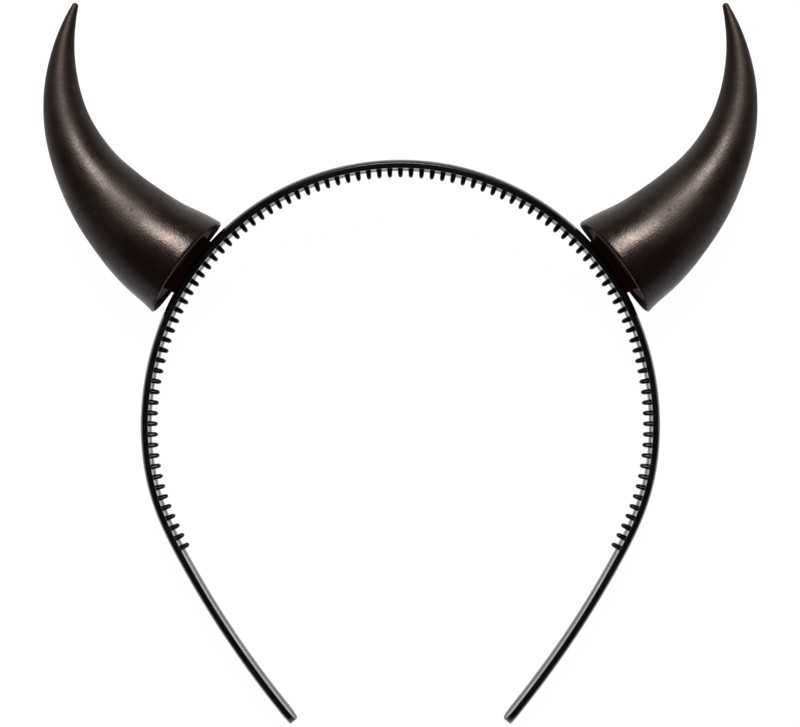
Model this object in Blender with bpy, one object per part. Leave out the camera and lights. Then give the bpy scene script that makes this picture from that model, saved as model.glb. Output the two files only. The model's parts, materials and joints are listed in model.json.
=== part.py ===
# Devil horns headband: a springy toothed strip that carries two hollow, curved horns.
# It lies on its back, as it does by itself on a table. Sizes are in metres.
# In the headband's own plane X runs across, Y up towards the horns and Z to the front.

import math
from collections import namedtuple

import bmesh
import bpy
import numpy as np
from mathutils import Matrix, Vector

MM = 0.001

# Strip
STRIP_SPAN = 140.7 * MM        # outside to outside where the strip is widest
STRIP_DEPTH = 10.0 * MM        # front edge to back edge
STRIP_EDGE = 1.05 * MM         # height of the flat front and back edges
STRIP_CROWN = 1.4 * MM         # rise of the domed outside above those edges
STRIP_BEVEL = 0.25 * MM        # along the two inner corners
FREE_END_RADIUS = 4.0 * MM     # corners of the free ends, seen from outside

# Course of the strip's outside from its top to a free end: share of the half length,
# heading below the horizontal in degrees, height of the section as a share of the full one
StripRow = namedtuple("StripRow", "along heading height")
STRIP_ROWS = (
    StripRow(0.0, 0.0, 1.00),
    StripRow(0.2, 33.1, 1.03),
    StripRow(0.4, 67.2, 1.00),
    StripRow(0.6, 98.2, 0.88),
    StripRow(0.7, 115.7, 0.85),
    StripRow(0.8, 121.1, 0.84),
    StripRow(1.0, 129.5, 0.88),
)
DOME_STOPS = (-1.0, -0.9, -0.6, 0.0, 0.6, 0.9, 1.0)    # shares of the half depth
ARM_STEP = 4.5 * MM            # between sections on the bare arms
FREE_END_TURNS = (30, 60, 90)  # degrees round the corner of a free end, a section at each
NARROW_ROOT = 0.6              # most of the half depth that a tooth's root may take up

# Comb teeth on the inside
TOOTHED_LENGTH = 148.2 * MM    # from the top down each side, along the outside
TOOTH_PITCH = 3.02 * MM        # along the outside
TOOTH_LENGTH = 2.5 * MM
TOOTH_WIDTH = 1.35 * MM        # along the strip, at the root
TOOTH_DEPTH = 2.4 * MM         # front to back, at the root
ToothRow = namedtuple("ToothRow", "out size")
TOOTH_ROWS = (
    ToothRow(0.78, 0.74),
    ToothRow(1.0, 0.36),
)

# Horn
HORN_LENGTH = 84.4 * MM        # along its middle line, without the round of the point
HORN_BASE_RADIUS = 15.3 * MM
HORN_WALL = 1.2 * MM
CAVITY_TIP_RADIUS = 1.2 * MM   # where the hollow stops short of the point
RIM_ROUND = 0.35 * MM
RIM_HOLLOW = 1.1 * MM          # how far the rim is cut back at its front and back
RIM_HOLLOW_REACH = 9.0 * MM    # length over which that cut fades away
HORN_SIDES = 24
HORN_STEPS = 17
POINT_TURNS = (60, 30)         # degrees round the point, a ring at each
CAVITY_STEPS = 9

# Course of the horn: share of its length, turn towards upright in degrees, share of
# the base radius
HornRow = namedtuple("HornRow", "along turn girth")
HORN_ROWS = (
    HornRow(0.00, 0.0, 1.000),
    HornRow(0.12, -0.8, 0.911),
    HornRow(0.30, 11.1, 0.749),
    HornRow(0.50, 25.4, 0.535),
    HornRow(0.75, 51.1, 0.298),
    HornRow(1.00, 73.5, 0.063),
)

# Seat of the horn on the strip
SEAT_ARC = 67.15 * MM          # from the top, along the outside
SEAT_STANDOFF = 0.52 * MM      # from the outside to the middle of the horn's rim
HORN_LEAN = 2.7                # degrees, from square to the strip towards upright

# Base that closes the horn: a plate inside the rim with a pad that sits on the strip
FIT_GAP = 0.3 * MM             # glue line between two pieces
PLATE_INSET = 0.4 * MM         # behind the deepest part of the rim
PLATE_THICK = 1.2 * MM
PAD_LENGTH = 17.0 * MM         # along the strip
PAD_WIDTH = 8.4 * MM           # front to back
PAD_SHIFT = 0.9 * MM           # from the middle of the rim towards the strip's top
PAD_STEPS = 8
PAD_STOPS = (-1.0, -0.5, 0.0, 0.5, 1.0)                # shares of the half width

COURSE_STEPS = 2000            # short straight steps that a course is added up from
SHARP_ANGLE = 40               # degrees between faces from which an edge is shown sharp


def smooth_value(rows, column, along):
    """Value of a table's column at a share of the length, on a smooth curve."""
    x = np.array([row.along for row in rows])
    y = np.array([getattr(row, column) for row in rows])
    step = np.diff(x)
    slope = np.diff(y) / step
    tangent = np.empty_like(y)
    tangent[1:-1] = (slope[:-1] * step[1:] + slope[1:] * step[:-1]) / (step[:-1] + step[1:])
    tangent[0] = 1.5 * slope[0] - 0.5 * tangent[1]
    tangent[-1] = 1.5 * slope[-1] - 0.5 * tangent[-2]
    along = np.asarray(along, dtype=float)
    i = np.clip(np.searchsorted(x, along, side="right") - 1, 0, len(step) - 1)
    u = (along - x[i]) / step[i]
    start = y[i] * (1 + 2 * u) * (1 - u) ** 2 + tangent[i] * step[i] * u * (1 - u) ** 2
    end = y[i + 1] * u ** 2 * (3 - 2 * u) + tangent[i + 1] * step[i] * u ** 2 * (u - 1)
    return start + end


class Course:
    """A flat curve added up from its heading; headings count anticlockwise from +X."""

    def __init__(self, headings, length):
        middles = 0.5 * (headings[:-1] + headings[1:])
        step = length / len(middles)
        self.length = length
        self.arcs = np.linspace(0.0, length, len(headings))
        self.headings = headings
        self.x = np.concatenate(([0.0], np.cumsum(np.cos(middles) * step)))
        self.y = np.concatenate(([0.0], np.cumsum(np.sin(middles) * step)))

    def at(self, arc):
        """Point, forward direction and left-hand direction at an arc length."""
        heading = float(np.interp(arc, self.arcs, self.headings))
        point = Vector((np.interp(arc, self.arcs, self.x), np.interp(arc, self.arcs, self.y), 0.0))
        forward = Vector((math.cos(heading), math.sin(heading), 0.0))
        left = Vector((-math.sin(heading), math.cos(heading), 0.0))
        return point, forward, left


def strip_course():
    """Right half of the strip's outside, at the size that gives the named span."""
    shares = np.linspace(0.0, 1.0, COURSE_STEPS + 1)
    headings = -np.radians(smooth_value(STRIP_ROWS, "heading", shares))
    reach_of_unit = Course(headings, 1.0).x.max()
    return Course(headings, 0.5 * STRIP_SPAN / reach_of_unit)


def horn_course():
    """Middle line of the right horn, leaving its base along +X and turning left."""
    shares = np.linspace(0.0, 1.0, COURSE_STEPS + 1)
    return Course(np.radians(smooth_value(HORN_ROWS, "turn", shares)), HORN_LENGTH)


STRIP = strip_course()
HORN = horn_course()


def strip_frame(arc):
    """Point on the outside, direction along and outward direction; arc < 0 is the left."""
    point, along, outward = STRIP.at(abs(arc))
    if arc < 0.0:
        point = Vector((-point.x, point.y, 0.0))
        along = Vector((along.x, -along.y, 0.0))
        outward = Vector((-outward.x, outward.y, 0.0))
    return point, along, outward


def strip_height(arc):
    """Share of the full section height at an arc length."""
    return float(smooth_value(STRIP_ROWS, "height", abs(arc) / STRIP.length))


def dome_drop(share):
    """How far the domed outside lies below its crest, at a share of the half depth."""
    return STRIP_CROWN * (1.0 - math.sqrt(1.0 - share ** 2))


def strip_section(height, half_depth):
    """Closed section as (outward, front) pairs, starting on the outside at the back."""
    inside = -(STRIP_CROWN + STRIP_EDGE) * height
    root = min(0.5 * TOOTH_DEPTH, NARROW_ROOT * half_depth)
    shoulder = half_depth - STRIP_BEVEL
    section = [(-dome_drop(share) * height, share * half_depth) for share in DOME_STOPS]
    section += [
        (inside + STRIP_BEVEL, half_depth),
        (inside, shoulder),
        (inside, root),
        (inside, -root),
        (inside, -shoulder),
        (inside + STRIP_BEVEL, -half_depth),
    ]
    return section


def tooth_arcs():
    """Arc lengths of the teeth, from the left side over the top to the right."""
    count = int(TOOTHED_LENGTH / TOOTH_PITCH)
    return [index * TOOTH_PITCH for index in range(-count, count + 1)]


def strip_stations():
    """(arc, half depth) of each section and the index of each tooth's first section."""
    half_depth = 0.5 * STRIP_DEPTH
    teeth = tooth_arcs()
    toothed = [arc + side * 0.5 * TOOTH_WIDTH for arc in teeth for side in (-1, 1)]
    bare_start = toothed[-1]
    bare_end = STRIP.length - FREE_END_RADIUS
    steps = max(2, round((bare_end - bare_start) / ARM_STEP))
    step = (bare_end - bare_start) / steps
    arm = [(bare_start + step * index, half_depth) for index in range(1, steps + 1)]
    for degrees in FREE_END_TURNS:
        angle = math.radians(degrees)
        arc = bare_end + FREE_END_RADIUS * math.sin(angle)
        arm.append((arc, half_depth - FREE_END_RADIUS * (1.0 - math.cos(angle))))
    left_arm = [(-arc, half) for arc, half in reversed(arm)]
    stations = left_arm + [(arc, half_depth) for arc in toothed] + arm
    first = [len(left_arm) + 2 * index for index in range(len(teeth))]
    return stations, first


def loft(bm, rings):
    """Quads between rings of equal length; returns the faces of each gap in ring order."""
    loops = [[bm.verts.new(point) for point in ring] for ring in rings]
    gaps = []
    for low, high in zip(loops, loops[1:]):
        size = len(low)
        gaps.append([
            bm.faces.new((low[i], low[(i + 1) % size], high[(i + 1) % size], high[i]))
            for i in range(size)
        ])
    return loops, gaps


def close_with_face(bm, loops):
    """Flat faces over the first and the last loop."""
    bm.faces.new(list(reversed(loops[0])))
    bm.faces.new(loops[-1])


def close_with_point(bm, loop, point):
    """A fan from a loop to one point."""
    tip = bm.verts.new(point)
    for i, vert in enumerate(loop):
        bm.faces.new((vert, loop[(i + 1) % len(loop)], tip))


def pull_tooth(bm, root_face, arc):
    """Extrude one tooth out of its root face, row by row."""
    point, along, outward = strip_frame(arc)
    root = point - outward * (STRIP_CROWN + STRIP_EDGE) * strip_height(arc)
    face = root_face
    for row in TOOTH_ROWS:
        face = bmesh.ops.extrude_discrete_faces(bm, faces=[face])["faces"][0]
        for vert in face.verts:
            side = math.copysign(0.5 * TOOTH_WIDTH * row.size, (vert.co - root).dot(along))
            front = math.copysign(0.5 * TOOTH_DEPTH * row.size, vert.co.z)
            vert.co = root + along * side - outward * TOOTH_LENGTH * row.out
            vert.co.z = front


def finished_mesh(name, bm, material):
    """Faces outwards, smooth with sharp edges, one material."""
    bmesh.ops.recalc_face_normals(bm, faces=bm.faces)
    mesh = bpy.data.meshes.new(name)
    bm.to_mesh(mesh)
    bm.free()
    mesh.shade_smooth()
    mesh.set_sharp_from_angle(angle=math.radians(SHARP_ANGLE))
    mesh.materials.append(material)
    return mesh


def new_object(name, mesh, parent):
    """An object for a mesh, in the frame of its parent."""
    piece = bpy.data.objects.new(name, mesh)
    piece.parent = parent
    bpy.context.scene.collection.objects.link(piece)
    return piece


def new_empty(name, parent=None):
    """An empty that carries pieces."""
    empty = bpy.data.objects.new(name, None)
    empty.empty_display_size = 10 * MM
    empty.parent = parent
    bpy.context.scene.collection.objects.link(empty)
    return empty


def plastic(name, colour, roughness):
    """A plain plastic."""
    material = bpy.data.materials.new(name)
    material.use_nodes = True
    shader = material.node_tree.nodes["Principled BSDF"]
    shader.inputs["Base Color"].default_value = (*colour, 1.0)
    shader.inputs["Roughness"].default_value = roughness
    shader.inputs["Metallic"].default_value = 0.0
    material.diffuse_color = (*colour, 1.0)
    return material


def build_headband(material, parent):
    """The strip with its comb teeth, in one piece."""
    bm = bmesh.new()
    stations, first_of_tooth = strip_stations()
    rings = []
    for arc, half_depth in stations:
        point, along, outward = strip_frame(arc)
        section = strip_section(strip_height(arc), half_depth)
        rings.append([point + outward * out + Vector((0.0, 0.0, front)) for out, front in section])
    loops, gaps = loft(bm, rings)
    close_with_face(bm, loops)
    root_place = len(DOME_STOPS) + 2
    roots = [gaps[index][root_place] for index in first_of_tooth]
    bmesh.ops.recalc_face_normals(bm, faces=bm.faces)
    for face, arc in zip(roots, tooth_arcs()):
        pull_tooth(bm, face, arc)
    return new_object("headband", finished_mesh("headband", bm, material), parent)


def horn_radius(arc):
    """Outer radius of the horn at an arc length from its base."""
    return HORN_BASE_RADIUS * float(smooth_value(HORN_ROWS, "girth", arc / HORN_LENGTH))


def horn_ring(arc, radius):
    """Round section square to the horn's middle line, cut back front and back near the rim."""
    centre, forward, left = HORN.at(arc)
    fade = max(0.0, 1.0 - arc / RIM_HOLLOW_REACH) ** 2
    ring = []
    for index in range(HORN_SIDES):
        angle = 2.0 * math.pi * index / HORN_SIDES
        cut = RIM_HOLLOW * math.sin(angle) ** 2 * fade
        spoke = left * math.cos(angle) + Vector((0.0, 0.0, math.sin(angle)))
        ring.append(centre + forward * cut + spoke * radius)
    return ring


def cavity_end():
    """Arc length at which the hollow inside the horn has shrunk to its last radius."""
    low = 0.0
    high = HORN_LENGTH
    for _ in range(40):
        middle = 0.5 * (low + high)
        if horn_radius(middle) - HORN_WALL > CAVITY_TIP_RADIUS:
            low = middle
        else:
            high = middle
    return low


def horn_mesh(material):
    """Hollow shell, open at its base: outside from the point to the rim, then the inside."""
    bm = bmesh.new()
    tip_centre, tip_forward, _ = HORN.at(HORN_LENGTH)
    tip_radius = horn_radius(HORN_LENGTH)
    rings = []
    for degrees in POINT_TURNS:
        angle = math.radians(degrees)
        ring = horn_ring(HORN_LENGTH, tip_radius * math.cos(angle))
        rings.append([point + tip_forward * tip_radius * math.sin(angle) for point in ring])
    for index in range(HORN_STEPS, 0, -1):
        arc = RIM_ROUND + (HORN_LENGTH - RIM_ROUND) * index / HORN_STEPS
        rings.append(horn_ring(arc, horn_radius(arc)))
    rings.append(horn_ring(RIM_ROUND, horn_radius(RIM_ROUND)))
    rings.append(horn_ring(0.0, HORN_BASE_RADIUS - RIM_ROUND))
    deepest = cavity_end()
    for index in range(CAVITY_STEPS + 1):
        arc = deepest * index / CAVITY_STEPS
        rings.append(horn_ring(arc, horn_radius(arc) - HORN_WALL))
    loops, _ = loft(bm, rings)
    close_with_point(bm, loops[0], tip_centre + tip_forward * tip_radius)
    end_centre, end_forward, _ = HORN.at(deepest)
    close_with_point(bm, loops[-1], end_centre + end_forward * CAVITY_TIP_RADIUS)
    return finished_mesh("horn", bm, material)


def plate_ring(depth):
    """Edge of the plate inside the horn, at a depth from the middle of the rim."""
    centre, _, left = HORN.at(depth)
    radius = horn_radius(depth) - HORN_WALL - FIT_GAP
    ring = []
    for index in range(HORN_SIDES):
        angle = 2.0 * math.pi * index / HORN_SIDES
        ring.append(centre + (left * math.cos(angle) + Vector((0.0, 0.0, math.sin(angle)))) * radius)
    return ring


def build_pad(name, material, seat):
    """Block from the plate down to the strip's outside, following its curve and dome."""
    bm = bmesh.new()
    to_seat = seat_matrix().inverted()
    plate_middle = RIM_HOLLOW + PLATE_INSET + 0.5 * PLATE_THICK
    rings = []
    for index in range(PAD_STEPS + 1):
        arc = SEAT_ARC - PAD_SHIFT + PAD_LENGTH * (index / PAD_STEPS - 0.5)
        point, _, outward = strip_frame(arc)
        ring = []
        for stop in PAD_STOPS:
            front = 0.5 * PAD_WIDTH * stop
            drop = dome_drop(front / (0.5 * STRIP_DEPTH)) * strip_height(arc)
            foot = to_seat @ (point + outward * (FIT_GAP - drop))
            ring.append(Vector((foot.x, foot.y, front)))
        ring.append(Vector((plate_middle, ring[-1].y, 0.5 * PAD_WIDTH)))
        ring.append(Vector((plate_middle, ring[0].y, -0.5 * PAD_WIDTH)))
        rings.append(ring)
    loops, _ = loft(bm, rings)
    close_with_face(bm, loops)
    return new_object(name, finished_mesh(name, bm, material), seat)


def build_horn_base(name, material, seat):
    """Plate and pad in one moulded piece."""
    bm = bmesh.new()
    depth = RIM_HOLLOW + PLATE_INSET
    loops, _ = loft(bm, [plate_ring(depth), plate_ring(depth + PLATE_THICK)])
    close_with_face(bm, loops)
    base = new_object(name, finished_mesh(name, bm, material), seat)
    pad = build_pad(name + "_pad_shape", material, seat)
    pad.hide_render = True
    pad.display_type = "WIRE"
    union = base.modifiers.new("pad", "BOOLEAN")
    union.operation = "UNION"
    union.solver = "EXACT"
    union.object = pad


def seat_matrix():
    """Frame of the right horn's base: X along the horn, Z to the front."""
    point, _, outward = strip_frame(SEAT_ARC)
    heading = math.atan2(outward.y, outward.x) + math.radians(HORN_LEAN)
    return Matrix.Translation(point + outward * SEAT_STANDOFF) @ Matrix.Rotation(heading, 4, "Z")


def build_seat(side, parent):
    """Empty for one horn; the left one is the right one turned half round about Y."""
    turned = new_empty("turn_" + side, parent)
    if side == "left":
        turned.rotation_euler.y = math.pi
    seat = new_empty("seat_" + side, turned)
    location, rotation, _ = seat_matrix().decompose()
    seat.location = location
    seat.rotation_euler = rotation.to_euler()
    return seat


def world_points(piece):
    """Vertices of a piece in the world, as an array."""
    return np.array([piece.matrix_world @ vert.co for vert in piece.data.vertices])


def lie_on_back(carrier, headband, horns):
    """Tilt and lift the headband until the free ends and the horns' rims touch the floor."""
    bpy.context.view_layer.update()
    strip = world_points(headband)
    horn = np.concatenate([world_points(piece) for piece in horns])
    tilt = 0.0
    for _ in range(8):
        low_strip = strip[np.argmin(strip[:, 1] * math.sin(tilt) + strip[:, 2] * math.cos(tilt))]
        low_horn = horn[np.argmin(horn[:, 1] * math.sin(tilt) + horn[:, 2] * math.cos(tilt))]
        tilt = math.atan2(low_strip[2] - low_horn[2], low_horn[1] - low_strip[1])
    carrier.rotation_euler.x = tilt
    bpy.context.view_layer.update()
    everything = np.concatenate([world_points(piece) for piece in (headband, *horns)])
    low = everything.min(axis=0)
    high = everything.max(axis=0)
    carrier.location = (-0.5 * (low[0] + high[0]), -0.5 * (low[1] + high[1]), -low[2])


def main():
    for piece in list(bpy.data.objects):
        bpy.data.objects.remove(piece, do_unlink=True)
    gloss_black = plastic("gloss_black_strip", (0.012, 0.011, 0.012), 0.22)
    horn_brown = plastic("horn_brown_black", (0.030, 0.018, 0.014), 0.42)
    base_black = plastic("base_black", (0.010, 0.007, 0.007), 0.5)

    carrier = new_empty("headband_plane")
    headband = build_headband(gloss_black, carrier)
    shell = horn_mesh(horn_brown)
    horns = []
    for side in ("right", "left"):
        seat = build_seat(side, carrier)
        horns.append(new_object("horn_" + side, shell, seat))
        build_horn_base("horn_base_" + side, base_black, seat)
    lie_on_back(carrier, headband, horns)


main()
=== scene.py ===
# Devil horns headband: a toothed spring strip and two hollow horns, lying on its back on a pale table.
# Sizes are in metres. Pieces are modelled straight, bent along a guide curve and laid in the
# headband's plane.
import json
import math

import bmesh
import bpy
import numpy as np
from mathutils import Matrix, Vector


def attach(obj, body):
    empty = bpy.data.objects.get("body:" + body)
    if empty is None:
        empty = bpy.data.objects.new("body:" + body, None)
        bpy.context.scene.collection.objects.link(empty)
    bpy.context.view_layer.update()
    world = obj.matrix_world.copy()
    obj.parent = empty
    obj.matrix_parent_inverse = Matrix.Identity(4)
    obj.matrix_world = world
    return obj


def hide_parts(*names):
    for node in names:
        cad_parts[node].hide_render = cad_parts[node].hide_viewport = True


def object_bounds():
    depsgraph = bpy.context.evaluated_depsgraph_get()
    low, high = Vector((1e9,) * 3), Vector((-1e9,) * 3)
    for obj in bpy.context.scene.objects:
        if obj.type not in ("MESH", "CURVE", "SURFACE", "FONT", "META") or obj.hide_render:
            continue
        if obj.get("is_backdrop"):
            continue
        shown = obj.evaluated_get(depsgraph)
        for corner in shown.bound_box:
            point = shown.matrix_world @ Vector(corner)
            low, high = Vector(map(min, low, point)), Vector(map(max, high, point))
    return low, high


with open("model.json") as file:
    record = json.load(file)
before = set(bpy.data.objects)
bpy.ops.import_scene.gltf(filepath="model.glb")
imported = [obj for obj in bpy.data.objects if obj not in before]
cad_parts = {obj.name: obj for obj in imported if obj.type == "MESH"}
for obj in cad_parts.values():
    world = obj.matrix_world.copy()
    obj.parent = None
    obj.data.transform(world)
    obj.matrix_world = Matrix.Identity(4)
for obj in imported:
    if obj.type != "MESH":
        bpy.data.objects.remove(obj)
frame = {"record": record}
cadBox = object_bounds()
mm = 0.001
tiny = 1e-6                     # places nearer than this count as one
pickNear = 0.01 * mm            # the same where parts have been joined
weldNear = 0.002 * mm           # the same for the last clean-up of a piece


# --- small helpers for working in edit mode


def activate(piece):
    bpy.ops.object.select_all(action="DESELECT")
    piece.select_set(True)
    bpy.context.view_layer.objects.active = piece


def beginEdit(piece, mode="VERT"):
    activate(piece)
    bpy.ops.object.mode_set(mode="EDIT")
    bpy.ops.mesh.select_mode(type=mode)
    bpy.ops.mesh.select_all(action="DESELECT")


def endEdit():
    bpy.ops.object.mode_set(mode="OBJECT")


def pick(piece, test, kind="verts"):
    # selects the verts, edges or faces that pass the test, and nothing else
    bpy.ops.mesh.select_all(action="DESELECT")
    shape = bmesh.from_edit_mesh(piece.data)
    for part in getattr(shape, kind):
        if test(part):
            part.select_set(True)
    shape.select_flush_mode()
    bmesh.update_edit_mesh(piece.data)


def extrudeBy(step):
    bpy.ops.mesh.extrude_region_move(TRANSFORM_OT_translate={"value": step})


def applyModifier(piece, kind, **settings):
    activate(piece)
    modifier = piece.modifiers.new(kind.lower(), kind)
    for name, value in settings.items():
        setattr(modifier, name, value)
    bpy.ops.object.modifier_apply(modifier=modifier.name)


def applyPlace(piece, matrix=None):
    # puts the place, turn and size of the object into its mesh
    activate(piece)
    if matrix is not None:
        piece.matrix_world = matrix @ piece.matrix_world
        bpy.context.view_layer.update()
    bpy.ops.object.transform_apply(location=True, rotation=True, scale=True)


def faceOutwards(piece):
    beginEdit(piece)
    bpy.ops.mesh.select_all(action="SELECT")
    bpy.ops.mesh.remove_doubles(threshold=weldNear)
    bpy.ops.mesh.normals_make_consistent(inside=False)
    endEdit()


def keepStraightPlace(piece):
    # the place before bending, which the patterns of the materials follow
    spot = piece.data.attributes.new("straightPlace", "FLOAT_VECTOR", "POINT")
    places = np.zeros(len(piece.data.vertices) * 3, np.float32)
    piece.data.vertices.foreach_get("co", places)
    spot.data.foreach_set("vector", places)


def smoothShading(piece, degrees):
    activate(piece)
    bpy.ops.object.shade_smooth_by_angle(angle=math.radians(degrees))


# --- courses: a heading table added up to a flat curve

courseSteps = 2000
guideResolution = 12            # steps between two knots of a guide


def smoothValue(rows, along):
    x = np.array([row[0] for row in rows])
    y = np.array([row[1] for row in rows])
    step = np.diff(x)
    slope = np.diff(y) / step
    tangent = np.empty_like(y)
    tangent[1:-1] = (slope[:-1] * step[1:] + slope[1:] * step[:-1]) / (step[:-1] + step[1:])
    tangent[0] = 1.5 * slope[0] - 0.5 * tangent[1]
    tangent[-1] = 1.5 * slope[-1] - 0.5 * tangent[-2]
    along = np.asarray(along, dtype=float)
    i = np.clip(np.searchsorted(x, along, side="right") - 1, 0, len(step) - 1)
    u = (along - x[i]) / step[i]
    start = y[i] * (1 + 2 * u) * (1 - u) ** 2 + tangent[i] * step[i] * u * (1 - u) ** 2
    end = y[i + 1] * u ** 2 * (3 - 2 * u) + tangent[i + 1] * step[i] * u ** 2 * (u - 1)
    return start + end


class Course:
    def __init__(self, turns, length, sign=1.0):
        steps = courseSteps
        headings = sign * np.radians(smoothValue(turns, np.linspace(0, 1, steps + 1)))
        middles = 0.5 * (headings[:-1] + headings[1:])
        self.length = length
        self.headings = headings
        self.arcs = np.linspace(0, length, steps + 1)
        self.x = np.concatenate(([0], np.cumsum(np.cos(middles)))) * length / steps
        self.y = np.concatenate(([0], np.cumsum(np.sin(middles)))) * length / steps

    def at(self, arc):
        heading = float(np.interp(arc, self.arcs, self.headings))
        point = Vector((np.interp(arc, self.arcs, self.x), np.interp(arc, self.arcs, self.y), 0))
        return point, Vector((math.cos(heading), math.sin(heading), 0))


def layGuide(name, points, directions, spacing):
    curve = bpy.data.curves.new(name, "CURVE")
    curve.dimensions = "2D"
    curve.resolution_u = guideResolution
    spline = curve.splines.new("BEZIER")
    spline.bezier_points.add(len(points) - 1)
    for knot, point, direction in zip(spline.bezier_points, points, directions):
        knot.handle_left_type = knot.handle_right_type = "FREE"
        knot.co = point
        knot.handle_left = point - direction * spacing / 3
        knot.handle_right = point + direction * spacing / 3
    guide = bpy.data.objects.new(name, curve)
    bpy.context.scene.collection.objects.link(guide)
    return guide


# --- the headband's own plane, from the flat mount on the back edge of the strip at its top

stripShape = dict(
    span=140.7 * mm,            # outside to outside where the strip is widest
    depth=10.0 * mm,
    edge=1.25 * mm,             # height of the flat front and back edges
    crown=1.4 * mm,             # rise of the domed outside above them
    cornerRound=0.25 * mm,
    valley=0.24 * mm,           # the inside dips this far along its middle
    groovePlace=-1.3 * mm,      # a shallow groove along the inside
    grooveWidth=1.0 * mm,
    grooveDepth=0.3 * mm,
    endRadius=4.0 * mm,
    endRound=0.4 * mm,
    foldRound=0.35 * mm,        # along the middle of the inside
    mountBelow=1.8 * mm,        # from the crest down to the mount
    roundSteps=3,
    smoothAngle=38,             # degrees
    armSteps=18,
    endSteps=9,
    domeSides=56,
    guideKnots=65,
    turns=((0, 0), (0.2, 33.1), (0.4, 67.2), (0.6, 98.2), (0.7, 115.7), (0.8, 121.1), (1, 129.5)),
    heights=((0, 1.0), (0.2, 1.03), (0.32, 1.0), (0.42, 0.93), (0.6, 0.90), (0.8, 0.90), (1, 0.92)),
)
toothShape = dict(
    pitch=3.02 * mm,
    countEachSide=49,
    length=2.2 * mm,
    width=1.42 * mm,
    depth=2.4 * mm,
    tip=0.9 * mm,               # length of the rounded tip
    sunk=0.4 * mm,              # how far the root reaches into the strip before they are joined
    flare=1.16,                 # of the root
    squareOn=0.9,               # a face's normal along Y, from which it counts as the cut
    below=0.02 * mm,            # what is this far under the strip's inside belongs to a tooth
    sides=12,
    rings=8,
)

mount = frame["record"]["mounts"][0]
mountDrop = Vector((0, -stripShape["mountBelow"], -0.5 * stripShape["depth"]))
tilt = math.atan2(mount["axis"][1], -mount["axis"][2])
planeFrame = Matrix.Translation(mount["pos_m"]) @ Matrix.Rotation(tilt, 4, "X")
planeFrame = planeFrame @ Matrix.Translation(-mountDrop)

unitCourse = Course(stripShape["turns"], 1.0, -1.0)
stripCourse = Course(stripShape["turns"], 0.5 * stripShape["span"] / unitCourse.x.max(), -1.0)


def stripAt(arc):
    # point on the outside and direction from the left free end to the right one
    point, along = stripCourse.at(abs(arc))
    if arc < 0:
        return Vector((-point.x, point.y, 0)), Vector((along.x, -along.y, 0))
    return point, along


def stripHeight(arc):
    return float(smoothValue(stripShape["heights"], abs(arc) / stripCourse.length))


def layStripGuide():
    arcs = np.linspace(-stripCourse.length, stripCourse.length, stripShape["guideKnots"])
    found = [stripAt(arc) for arc in arcs]
    return layGuide("stripGuide", [f[0] for f in found], [f[1] for f in found], arcs[1] - arcs[0])


def bendAlong(piece, guide, forward=0.0):
    # X runs along the guide and Y points to its left
    applyPlace(piece, Matrix.Translation((forward, 0, 0)))
    applyModifier(piece, "CURVE", object=guide, deform_axis="POS_X")


# --- headband strip


def makeTooth():
    t = toothShape
    bpy.ops.object.select_all(action="DESELECT")
    bpy.ops.mesh.primitive_uv_sphere_add(
        segments=t["sides"], ring_count=t["rings"], radius=1, rotation=(math.pi / 2, 0, 0)
    )
    tooth = bpy.context.object
    applyPlace(tooth)
    inside = stripShape["crown"] + stripShape["edge"]
    neck = t["length"] - t["tip"] + t["sunk"]
    beginEdit(tooth)
    bpy.ops.mesh.select_all(action="SELECT")
    bpy.ops.mesh.bisect(plane_co=(0, 0, 0), plane_no=(0, 1, 0), use_fill=True, clear_outer=True)
    bpy.ops.mesh.select_all(action="SELECT")
    size = (t["width"] / 2, t["tip"], t["depth"] / 2)
    bpy.ops.transform.resize(value=size, center_override=(0, 0, 0))
    bpy.ops.mesh.select_mode(type="FACE")
    cutFace = lambda f: f.calc_center_median().y > -tiny and abs(f.normal.y) > t["squareOn"]
    pick(tooth, cutFace, "faces")
    extrudeBy((0, neck, 0))
    bpy.ops.transform.resize(value=(t["flare"], 1, t["flare"]), center_override=(0, neck, 0))
    bpy.ops.mesh.select_all(action="SELECT")
    bpy.ops.transform.translate(value=(0, -inside - t["length"] + t["tip"], 0))
    endEdit()
    return tooth


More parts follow.
